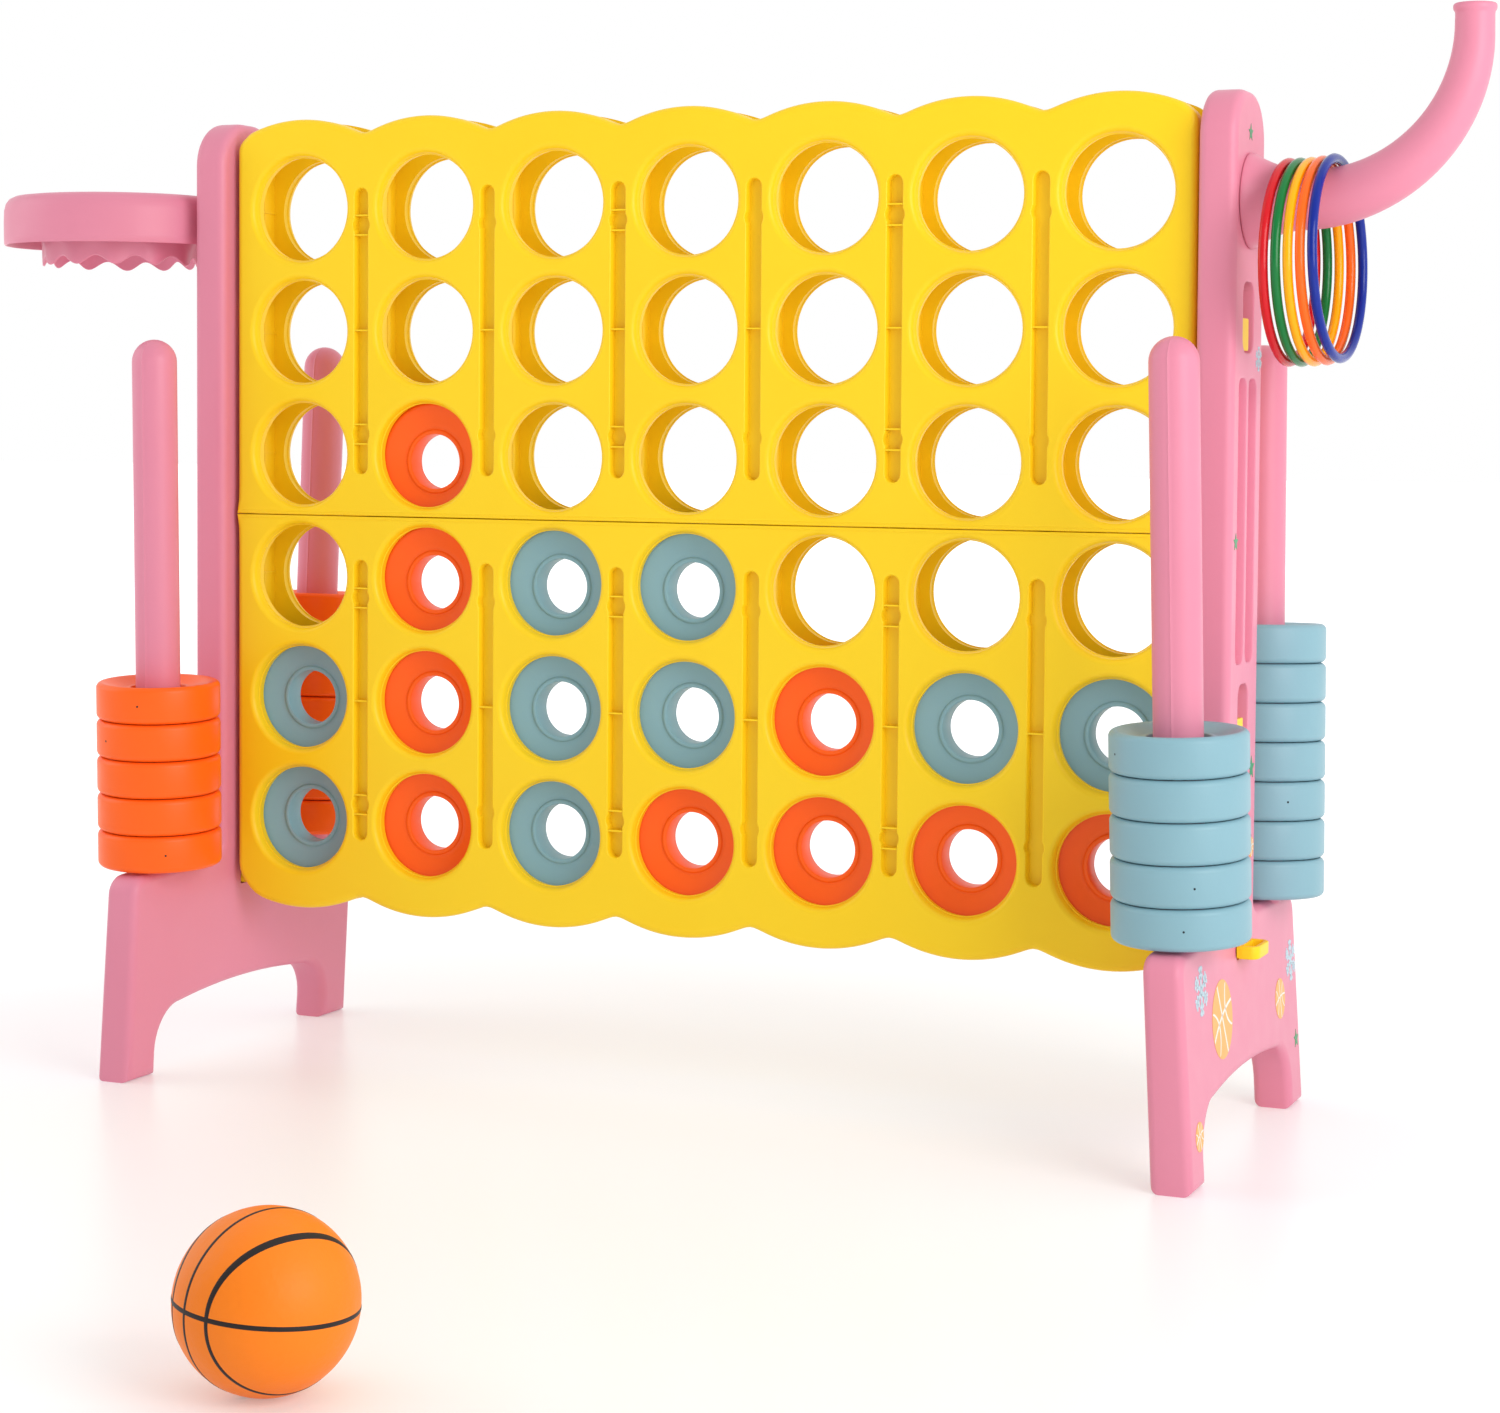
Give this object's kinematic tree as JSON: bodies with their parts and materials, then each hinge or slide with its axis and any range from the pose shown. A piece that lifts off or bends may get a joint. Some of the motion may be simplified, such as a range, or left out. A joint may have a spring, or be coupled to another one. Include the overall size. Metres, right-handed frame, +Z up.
{
  "type": "giant four in a row game",
  "caption": "Standing four-in-a-row board on two splayed end frames, with discs in its columns and stacked on corner rods, pull-out sliders, a side ball hoop and a curved ring-toss horn.",
  "frame": {"origin": "on the floor, at the middle of the whole set's footprint, ball included", "axes": "+X along the board towards the ring-toss horn, -Y out of the board's front, +Z up"},
  "size_m": [1.4966, 1.2168, 0.994],
  "materials": {
    "yellow_plastic": "satin, blow moulded",
    "pink_plastic": "satin, blow moulded",
    "orange_discs": "satin",
    "blue_discs": "satin",
    "red_toss_ring": "gloss",
    "green_toss_ring": "gloss",
    "yellow_toss_ring": "gloss",
    "orange_toss_ring": "gloss",
    "blue_toss_ring": "gloss",
    "ball_rubber": "pebbled"
  },
  "bodies": {
    "stand": {"upper_front_panel": "yellow_plastic", "upper_back_panel": "yellow_plastic", "lower_front_panel": "yellow_plastic", "lower_back_panel": "yellow_plastic", "left_end_frame": "pink_plastic", "right_end_frame": "pink_plastic", "front_left_rod": "pink_plastic", "rear_left_rod": "pink_plastic", "front_right_rod": "pink_plastic", "rear_right_rod": "pink_plastic", "hoop": "pink_plastic", "horn": "pink_plastic"},
    "left_slider": {"left_slider": "yellow_plastic"},
    "right_slider": {"right_slider": "yellow_plastic"},
    "red_toss_ring": {"red_toss_ring": "red_toss_ring"},
    "green_toss_ring": {"green_toss_ring": "green_toss_ring"},
    "yellow_toss_ring": {"yellow_toss_ring": "yellow_toss_ring"},
    "orange_toss_ring": {"orange_toss_ring": "orange_toss_ring"},
    "blue_toss_ring": {"blue_toss_ring": "blue_toss_ring"},
    "ball": {"ball": "ball_rubber"},
    "column1_disc1": {"column1_disc1": "blue_discs"},
    "column1_disc2": {"column1_disc2": "blue_discs"},
    "column2_disc1": {"column2_disc1": "orange_discs"},
    "column2_disc2": {"column2_disc2": "orange_discs"},
    "column2_disc3": {"column2_disc3": "orange_discs"},
    "column2_disc4": {"column2_disc4": "orange_discs"},
    "column3_disc1": {"column3_disc1": "blue_discs"},
    "column3_disc2": {"column3_disc2": "blue_discs"},
    "column3_disc3": {"column3_disc3": "blue_discs"},
    "column4_disc1": {"column4_disc1": "orange_discs"},
    "column4_disc2": {"column4_disc2": "blue_discs"},
    "column4_disc3": {"column4_disc3": "blue_discs"},
    "column5_disc1": {"column5_disc1": "orange_discs"},
    "column5_disc2": {"column5_disc2": "orange_discs"},
    "column6_disc1": {"column6_disc1": "orange_discs"},
    "column6_disc2": {"column6_disc2": "blue_discs"},
    "column7_disc1": {"column7_disc1": "orange_discs"},
    "column7_disc2": {"column7_disc2": "blue_discs"},
    "front_left_disc1": {"front_left_disc1": "orange_discs"},
    "front_left_disc2": {"front_left_disc2": "orange_discs"},
    "front_left_disc3": {"front_left_disc3": "orange_discs"},
    "front_left_disc4": {"front_left_disc4": "orange_discs"},
    "front_left_disc5": {"front_left_disc5": "orange_discs"},
    "rear_left_lower_discs": {"rear_left_lower_discs": "orange_discs"},
    "rear_left_disc4": {"rear_left_disc4": "orange_discs"},
    "rear_left_disc5": {"rear_left_disc5": "orange_discs"},
    "rear_left_disc6": {"rear_left_disc6": "orange_discs"},
    "rear_left_disc7": {"rear_left_disc7": "orange_discs"},
    "front_right_disc1": {"front_right_disc1": "blue_discs"},
    "front_right_disc2": {"front_right_disc2": "blue_discs"},
    "front_right_disc3": {"front_right_disc3": "blue_discs"},
    "front_right_disc4": {"front_right_disc4": "blue_discs"},
    "front_right_disc5": {"front_right_disc5": "blue_discs"},
    "rear_right_disc1": {"rear_right_disc1": "blue_discs"},
    "rear_right_disc2": {"rear_right_disc2": "blue_discs"},
    "rear_right_disc3": {"rear_right_disc3": "blue_discs"},
    "rear_right_disc4": {"rear_right_disc4": "blue_discs"},
    "rear_right_disc5": {"rear_right_disc5": "blue_discs"},
    "rear_right_disc6": {"rear_right_disc6": "blue_discs"},
    "rear_right_disc7": {"rear_right_disc7": "blue_discs"}
  },
  "joints": [
    {"name": "column1_disc1_lift", "type": "slide", "parent": "stand", "child": "column1_disc1", "axis": [0, 0, 1], "range_m": [0, 0.749]},
    {"name": "column1_disc2_lift", "type": "slide", "parent": "column1_disc1", "child": "column1_disc2", "axis": [0, 0, 1], "range_m": [0, 0.631]},
    {"name": "column2_disc1_lift", "type": "slide", "parent": "stand", "child": "column2_disc1", "axis": [0, 0, 1], "range_m": [0, 0.749]},
    {"name": "column2_disc2_lift", "type": "slide", "parent": "column2_disc1", "child": "column2_disc2", "axis": [0, 0, 1], "range_m": [0, 0.631]},
    {"name": "column2_disc3_lift", "type": "slide", "parent": "column2_disc2", "child": "column2_disc3", "axis": [0, 0, 1], "range_m": [0, 0.513]},
    {"name": "column2_disc4_lift", "type": "slide", "parent": "column2_disc3", "child": "column2_disc4", "axis": [0, 0, 1], "range_m": [0, 0.395]},
    {"name": "column3_disc1_lift", "type": "slide", "parent": "stand", "child": "column3_disc1", "axis": [0, 0, 1], "range_m": [0, 0.749]},
    {"name": "column3_disc2_lift", "type": "slide", "parent": "column3_disc1", "child": "column3_disc2", "axis": [0, 0, 1], "range_m": [0, 0.631]},
    {"name": "column3_disc3_lift", "type": "slide", "parent": "column3_disc2", "child": "column3_disc3", "axis": [0, 0, 1], "range_m": [0, 0.513]},
    {"name": "column4_disc1_lift", "type": "slide", "parent": "stand", "child": "column4_disc1", "axis": [0, 0, 1], "range_m": [0, 0.749]},
    {"name": "column4_disc2_lift", "type": "slide", "parent": "column4_disc1", "child": "column4_disc2", "axis": [0, 0, 1], "range_m": [0, 0.631]},
    {"name": "column4_disc3_lift", "type": "slide", "parent": "column4_disc2", "child": "column4_disc3", "axis": [0, 0, 1], "range_m": [0, 0.513]},
    {"name": "column5_disc1_lift", "type": "slide", "parent": "stand", "child": "column5_disc1", "axis": [0, 0, 1], "range_m": [0, 0.749]},
    {"name": "column5_disc2_lift", "type": "slide", "parent": "column5_disc1", "child": "column5_disc2", "axis": [0, 0, 1], "range_m": [0, 0.631]},
    {"name": "column6_disc1_lift", "type": "slide", "parent": "stand", "child": "column6_disc1", "axis": [0, 0, 1], "range_m": [0, 0.749]},
    {"name": "column6_disc2_lift", "type": "slide", "parent": "column6_disc1", "child": "column6_disc2", "axis": [0, 0, 1], "range_m": [0, 0.631]},
    {"name": "column7_disc1_lift", "type": "slide", "parent": "stand", "child": "column7_disc1", "axis": [0, 0, 1], "range_m": [0, 0.749]},
    {"name": "column7_disc2_lift", "type": "slide", "parent": "column7_disc1", "child": "column7_disc2", "axis": [0, 0, 1], "range_m": [0, 0.631]},
    {"name": "front_left_disc1_lift", "type": "slide", "parent": "stand", "child": "front_left_disc1", "axis": [0.015, -0.04, 0.9991], "range_m": [0, 0.513]},
    {"name": "front_left_disc2_lift", "type": "slide", "parent": "front_left_disc1", "child": "front_left_disc2", "axis": [0.015, -0.04, 0.9991], "range_m": [0, 0.478]},
    {"name": "front_left_disc3_lift", "type": "slide", "parent": "front_left_disc2", "child": "front_left_disc3", "axis": [0.015, -0.04, 0.9991], "range_m": [0, 0.442]},
    {"name": "front_left_disc4_lift", "type": "slide", "parent": "front_left_disc3", "child": "front_left_disc4", "axis": [0.015, -0.04, 0.9991], "range_m": [0, 0.406]},
    {"name": "front_left_disc5_lift", "type": "slide", "parent": "front_left_disc4", "child": "front_left_disc5", "axis": [0.015, -0.04, 0.9991], "range_m": [0, 0.37]},
    {"name": "front_right_disc1_lift", "type": "slide", "parent": "stand", "child": "front_right_disc1", "axis": [-0.015, -0.04, 0.9991], "range_m": [0, 0.513]},
    {"name": "front_right_disc2_lift", "type": "slide", "parent": "front_right_disc1", "child": "front_right_disc2", "axis": [-0.015, -0.04, 0.9991], "range_m": [0, 0.478]},
    {"name": "front_right_disc3_lift", "type": "slide", "parent": "front_right_disc2", "child": "front_right_disc3", "axis": [-0.015, -0.04, 0.9991], "range_m": [0, 0.442]},
    {"name": "front_right_disc4_lift", "type": "slide", "parent": "front_right_disc3", "child": "front_right_disc4", "axis": [-0.015, -0.04, 0.9991], "range_m": [0, 0.406]},
    {"name": "front_right_disc5_lift", "type": "slide", "parent": "front_right_disc4", "child": "front_right_disc5", "axis": [-0.015, -0.04, 0.9991], "range_m": [0, 0.37]},
    {"name": "rear_left_lower_discs_lift", "type": "slide", "parent": "stand", "child": "rear_left_lower_discs", "axis": [0.015, 0.04, 0.9991], "range_m": [0, 0.513]},
    {"name": "rear_left_disc4_lift", "type": "slide", "parent": "rear_left_lower_discs", "child": "rear_left_disc4", "axis": [0.015, 0.04, 0.9991], "range_m": [0, 0.406]},
    {"name": "rear_left_disc5_lift", "type": "slide", "parent": "rear_left_disc4", "child": "rear_left_disc5", "axis": [0.015, 0.04, 0.9991], "range_m": [0, 0.37]},
    {"name": "rear_left_disc6_lift", "type": "slide", "parent": "rear_left_disc5", "child": "rear_left_disc6", "axis": [0.015, 0.04, 0.9991], "range_m": [0, 0.334]},
    {"name": "rear_left_disc7_lift", "type": "slide", "parent": "rear_left_disc6", "child": "rear_left_disc7", "axis": [0.015, 0.04, 0.9991], "range_m": [0, 0.299]},
    {"name": "rear_right_disc1_lift", "type": "slide", "parent": "stand", "child": "rear_right_disc1", "axis": [-0.015, 0.04, 0.9991], "range_m": [0, 0.513]},
    {"name": "rear_right_disc2_lift", "type": "slide", "parent": "rear_right_disc1", "child": "rear_right_disc2", "axis": [-0.015, 0.04, 0.9991], "range_m": [0, 0.478]},
    {"name": "rear_right_disc3_lift", "type": "slide", "parent": "rear_right_disc2", "child": "rear_right_disc3", "axis": [-0.015, 0.04, 0.9991], "range_m": [0, 0.442]},
    {"name": "rear_right_disc4_lift", "type": "slide", "parent": "rear_right_disc3", "child": "rear_right_disc4", "axis": [-0.015, 0.04, 0.9991], "range_m": [0, 0.406]},
    {"name": "rear_right_disc5_lift", "type": "slide", "parent": "rear_right_disc4", "child": "rear_right_disc5", "axis": [-0.015, 0.04, 0.9991], "range_m": [0, 0.37]},
    {"name": "rear_right_disc6_lift", "type": "slide", "parent": "rear_right_disc5", "child": "rear_right_disc6", "axis": [-0.015, 0.04, 0.9991], "range_m": [0, 0.334]},
    {"name": "rear_right_disc7_lift", "type": "slide", "parent": "rear_right_disc6", "child": "rear_right_disc7", "axis": [-0.015, 0.04, 0.9991], "range_m": [0, 0.299]},
    {"name": "left_slider_pull", "type": "slide", "parent": "stand", "child": "left_slider", "axis": [-1, 0, 0], "range_m": [0, 0.5]},
    {"name": "right_slider_pull", "type": "slide", "parent": "stand", "child": "right_slider", "axis": [1, 0, 0], "range_m": [0, 0.5]},
    {"name": "red_toss_ring_swing", "type": "hinge", "parent": "stand", "child": "red_toss_ring", "pos_m": [0.57475, 0.40161, 0.831], "axis": [1, 0, 0], "range_deg": [-40, 40]},
    {"name": "green_toss_ring_swing", "type": "hinge", "parent": "stand", "child": "green_toss_ring", "pos_m": [0.58455, 0.40161, 0.831], "axis": [1, 0, 0], "range_deg": [-40, 40]},
    {"name": "yellow_toss_ring_swing", "type": "hinge", "parent": "stand", "child": "yellow_toss_ring", "pos_m": [0.59435, 0.40161, 0.8313], "axis": [1, 0, 0], "range_deg": [-40, 40]},
    {"name": "orange_toss_ring_swing", "type": "hinge", "parent": "stand", "child": "orange_toss_ring", "pos_m": [0.60415, 0.40161, 0.83228], "axis": [1, 0, 0], "range_deg": [-40, 40]},
    {"name": "blue_toss_ring_swing", "type": "hinge", "parent": "stand", "child": "blue_toss_ring", "pos_m": [0.61395, 0.40161, 0.83397], "axis": [1, 0, 0], "range_deg": [-40, 40]},
    {"name": "ball_lift", "type": "slide", "parent": "stand", "child": "ball", "axis": [0, 0, 1], "range_m": [0, 0.6]}
  ]
}
